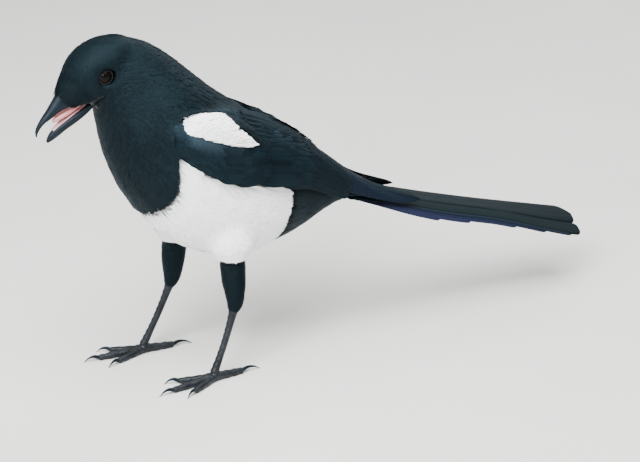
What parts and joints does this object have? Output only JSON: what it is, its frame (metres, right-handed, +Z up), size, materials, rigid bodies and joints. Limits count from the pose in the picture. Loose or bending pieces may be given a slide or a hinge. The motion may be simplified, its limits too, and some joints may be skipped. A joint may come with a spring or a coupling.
{
  "type": "eurasian magpie",
  "caption": "Life-size still model of a black and white magpie standing with lowered head, open bill, folded wings and a long straight tail.",
  "frame": {"origin": "bottom centre of the bird's box, on the floor that it stands on", "axes": "the bird faces -X, its left side is towards -Y, and +Z is up"},
  "size_m": [0.36, 0.0846, 0.2036],
  "materials": {
    "black_plumage": "near-black feathers with a faint blue-green gloss",
    "white_plumage": "soft matt white feathers",
    "blue_gloss": "near-black flight feathers with a blue gloss",
    "green_gloss": "near-black tail feathers with a green and violet gloss",
    "horn": "smooth grey-black horn",
    "leg_skin": "scaly grey-black leg skin",
    "mouth": "moist pink mouth lining",
    "eye": "glossy dark brown eye"
  },
  "bodies": {
    "root": {"head": "black_plumage", "neck": "black_plumage", "trunk": "white_plumage", "tail": "green_gloss", "bill_upper": "horn", "bill_lower": "horn", "tongue": "mouth", "eye_left": "eye", "eye_right": "eye", "wing_left": "blue_gloss", "wing_right": "blue_gloss", "primaries_left": "blue_gloss", "primaries_right": "blue_gloss", "scapulars_left": "white_plumage", "scapulars_right": "white_plumage", "thigh_left": "black_plumage", "thigh_right": "black_plumage", "tarsus_left": "leg_skin", "tarsus_right": "leg_skin", "foot_left": "leg_skin", "foot_right": "leg_skin", "claw_hallux_left": "horn", "claw_inner_left": "horn", "claw_middle_left": "horn", "claw_outer_left": "horn", "claw_hallux_right": "horn", "claw_inner_right": "horn", "claw_middle_right": "horn", "claw_outer_right": "horn"}
  },
  "joints": []
}
